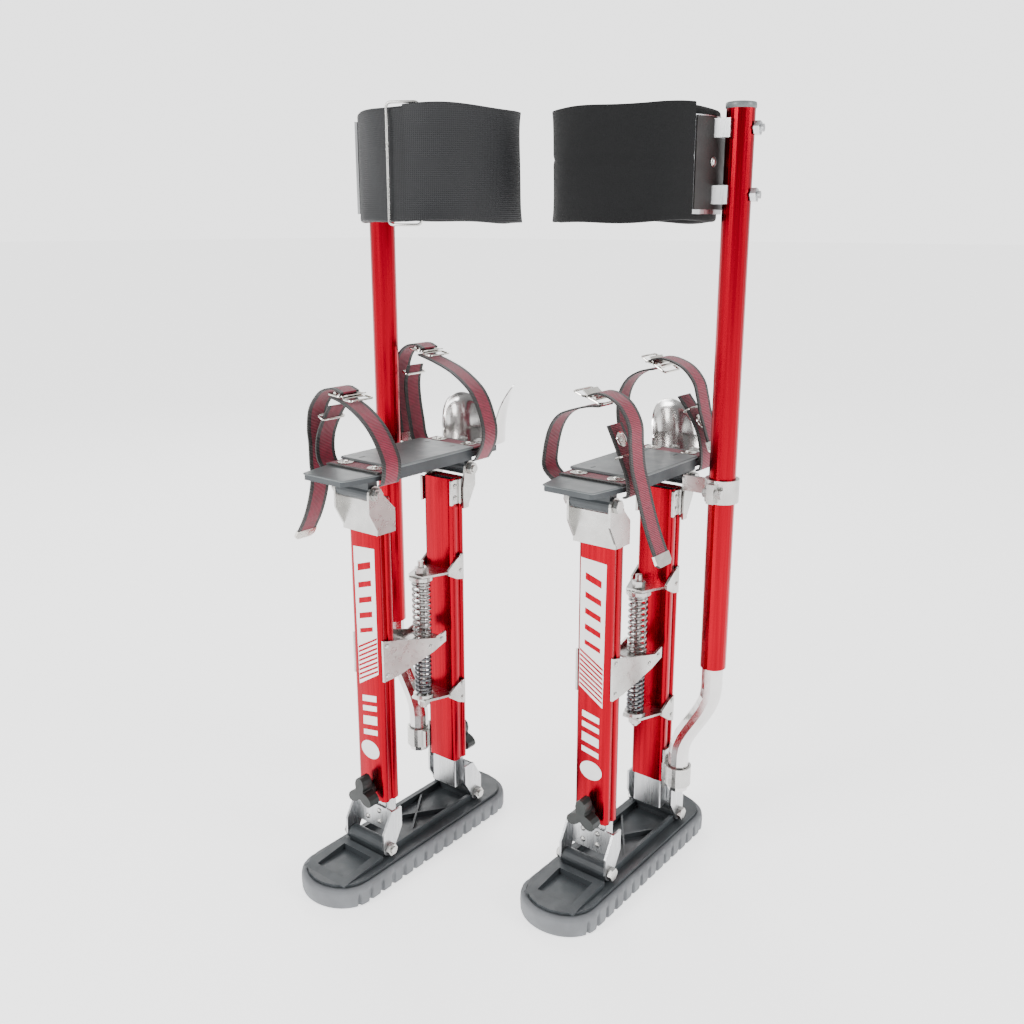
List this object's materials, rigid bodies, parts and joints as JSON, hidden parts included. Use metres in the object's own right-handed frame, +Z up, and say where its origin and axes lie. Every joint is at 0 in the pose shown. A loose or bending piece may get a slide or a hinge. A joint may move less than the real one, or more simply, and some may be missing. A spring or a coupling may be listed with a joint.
{
  "type": "drywall stilts",
  "caption": "Pair of adjustable drywall stilts: sprung telescoping struts on rubber soles, strapped foot plates, and leg tubes with padded calf bands.",
  "frame": {"origin": "centre of the pair at ground level, under the middle of the bounding box", "axes": "+Z up, -Y towards the toes, +X towards the left-foot stilt"},
  "size_m": [0.408, 0.404, 0.798],
  "materials": {
    "grey_rubber": "moulded rubber, matt",
    "dark_grey_plastic": "moulded nylon, fine texture",
    "zinc_steel": "zinc plated pressed steel",
    "spring_steel": "zinc plated spring wire",
    "bare_aluminium": "natural anodised extrusion",
    "polished_aluminium": "polished sheet",
    "red_anodised": "red anodised, satin",
    "black_plastic": "moulded, matt",
    "black_fabric": "woven nylon over foam, hook and loop",
    "crimson_webbing": "woven polyester webbing"
  },
  "bodies": {
    "right_base": {"right_sole": "grey_rubber", "right_floor_plate": "dark_grey_plastic", "right_front_base_bolt": "zinc_steel", "right_rear_base_bolt": "zinc_steel"},
    "right_front_lower": {"right_front_lower_tube": "bare_aluminium"},
    "right_front_upper": {"right_front_upper_tube": "red_anodised", "right_front_top_bracket": "zinc_steel", "right_spring_yoke": "zinc_steel"},
    "right_front_knob_assembly": {"right_front_knob": "black_plastic"},
    "right_rear_lower": {"right_rear_lower_tube": "bare_aluminium"},
    "right_rear_upper": {"right_rear_upper_tube": "red_anodised", "right_rear_top_bracket": "zinc_steel", "right_rear_top_bolt": "zinc_steel", "right_spring_rod": "zinc_steel", "right_spring_top_bracket": "zinc_steel", "right_spring_bottom_bracket": "zinc_steel", "right_upper_spring": "spring_steel", "right_lower_spring": "spring_steel", "right_leg_tube_bracket": "zinc_steel", "right_lower_leg_tube": "bare_aluminium", "right_tube_clamp": "zinc_steel"},
    "right_rear_knob_assembly": {"right_rear_knob": "black_plastic"},
    "right_leg_tube_assembly": {"right_leg_tube": "red_anodised", "right_calf_bracket": "bare_aluminium", "right_calf_band": "black_fabric"},
    "right_foot_plate_assembly": {"right_foot_plate": "dark_grey_plastic", "right_front_top_bolt": "zinc_steel", "right_heel_cup": "polished_aluminium", "right_toe_strap": "crimson_webbing", "right_instep_strap": "crimson_webbing"},
    "left_base": {"left_sole": "grey_rubber", "left_floor_plate": "dark_grey_plastic", "left_front_base_bolt": "zinc_steel", "left_rear_base_bolt": "zinc_steel"},
    "left_front_lower": {"left_front_lower_tube": "bare_aluminium"},
    "left_front_upper": {"left_front_upper_tube": "red_anodised", "left_front_top_bracket": "zinc_steel", "left_spring_yoke": "zinc_steel"},
    "left_front_knob_assembly": {"left_front_knob": "black_plastic"},
    "left_rear_lower": {"left_rear_lower_tube": "bare_aluminium"},
    "left_rear_upper": {"left_rear_upper_tube": "red_anodised", "left_rear_top_bracket": "zinc_steel", "left_rear_top_bolt": "zinc_steel", "left_spring_rod": "zinc_steel", "left_spring_top_bracket": "zinc_steel", "left_spring_bottom_bracket": "zinc_steel", "left_upper_spring": "spring_steel", "left_lower_spring": "spring_steel", "left_leg_tube_bracket": "zinc_steel", "left_lower_leg_tube": "bare_aluminium", "left_tube_clamp": "zinc_steel"},
    "left_rear_knob_assembly": {"left_rear_knob": "black_plastic"},
    "left_leg_tube_assembly": {"left_leg_tube": "red_anodised", "left_calf_bracket": "bare_aluminium", "left_calf_band": "black_fabric"},
    "left_foot_plate_assembly": {"left_foot_plate": "dark_grey_plastic", "left_front_top_bolt": "zinc_steel", "left_heel_cup": "polished_aluminium", "left_toe_strap": "crimson_webbing", "left_instep_strap": "crimson_webbing"}
  },
  "joints": [
    {"name": "right_tilt", "type": "hinge", "parent": "right_base", "child": "right_front_lower", "pos_m": [-0.10625, -0.11925, 0.034], "axis": [1, 0, 0], "range_deg": [-12, 12], "stiffness_Nm_per_rad": 60, "deforming": ["right_upper_spring", "right_lower_spring"]},
    {"name": "right_height", "type": "slide", "parent": "right_front_lower", "child": "right_front_upper", "axis": [0, 0, 1], "range_m": [0, 0.305]},
    {"name": "right_rear_tilt", "type": "hinge", "parent": "right_base", "child": "right_rear_lower", "pos_m": [-0.10625, 0.02575, 0.034], "axis": [1, 0, 0], "range_deg": [-12, 12]},
    {"name": "right_rear_height", "type": "slide", "parent": "right_rear_lower", "child": "right_rear_upper", "axis": [0, 0, 1], "range_m": [0, 0.305]},
    {"name": "right_foot_tilt", "type": "hinge", "parent": "right_rear_upper", "child": "right_foot_plate_assembly", "pos_m": [-0.10625, 0.02575, 0.43], "axis": [1, 0, 0], "range_deg": [-12, 12]},
    {"name": "right_leg_tube_slide", "type": "slide", "parent": "right_rear_upper", "child": "right_leg_tube_assembly", "axis": [0, 0, 1], "range_m": [-0.02, 0.1]},
    {"name": "right_front_knob_turn", "type": "hinge", "parent": "right_front_upper", "child": "right_front_knob_assembly", "pos_m": [-0.10625, -0.11525, 0.095], "axis": [0, 1, 0], "continuous": true},
    {"name": "right_rear_knob_turn", "type": "hinge", "parent": "right_rear_upper", "child": "right_rear_knob_assembly", "pos_m": [-0.10625, 0.02175, 0.095], "axis": [0, 1, 0], "continuous": true},
    {"name": "left_tilt", "type": "hinge", "parent": "left_base", "child": "left_front_lower", "pos_m": [0.10625, -0.00975, 0.034], "axis": [1, 0, 0], "range_deg": [-12, 12], "stiffness_Nm_per_rad": 60, "deforming": ["left_upper_spring", "left_lower_spring"]},
    {"name": "left_height", "type": "slide", "parent": "left_front_lower", "child": "left_front_upper", "axis": [0, 0, 1], "range_m": [0, 0.305]},
    {"name": "left_rear_tilt", "type": "hinge", "parent": "left_base", "child": "left_rear_lower", "pos_m": [0.10625, 0.13525, 0.034], "axis": [1, 0, 0], "range_deg": [-12, 12]},
    {"name": "left_rear_height", "type": "slide", "parent": "left_rear_lower", "child": "left_rear_upper", "axis": [0, 0, 1], "range_m": [0, 0.305]},
    {"name": "left_foot_tilt", "type": "hinge", "parent": "left_rear_upper", "child": "left_foot_plate_assembly", "pos_m": [0.10625, 0.13525, 0.43], "axis": [1, 0, 0], "range_deg": [-12, 12]},
    {"name": "left_leg_tube_slide", "type": "slide", "parent": "left_rear_upper", "child": "left_leg_tube_assembly", "axis": [0, 0, 1], "range_m": [-0.02, 0.1]},
    {"name": "left_front_knob_turn", "type": "hinge", "parent": "left_front_upper", "child": "left_front_knob_assembly", "pos_m": [0.10625, -0.00575, 0.095], "axis": [0, 1, 0], "continuous": true},
    {"name": "left_rear_knob_turn", "type": "hinge", "parent": "left_rear_upper", "child": "left_rear_knob_assembly", "pos_m": [0.10625, 0.13125, 0.095], "axis": [0, 1, 0], "continuous": true},
    {"name": "left_stilt_placement", "type": "slide", "parent": "right_base", "child": "left_base", "axis": [1, 0, 0], "range_m": [0, 0.2]}
  ],
  "couplings": [
    {"joint": "right_rear_tilt", "follows": "right_tilt", "ratio": 1},
    {"joint": "right_foot_tilt", "follows": "right_tilt", "ratio": -1},
    {"joint": "right_rear_height", "follows": "right_height", "ratio": 1},
    {"joint": "left_rear_tilt", "follows": "left_tilt", "ratio": 1},
    {"joint": "left_foot_tilt", "follows": "left_tilt", "ratio": -1},
    {"joint": "left_rear_height", "follows": "left_height", "ratio": 1}
  ]
}
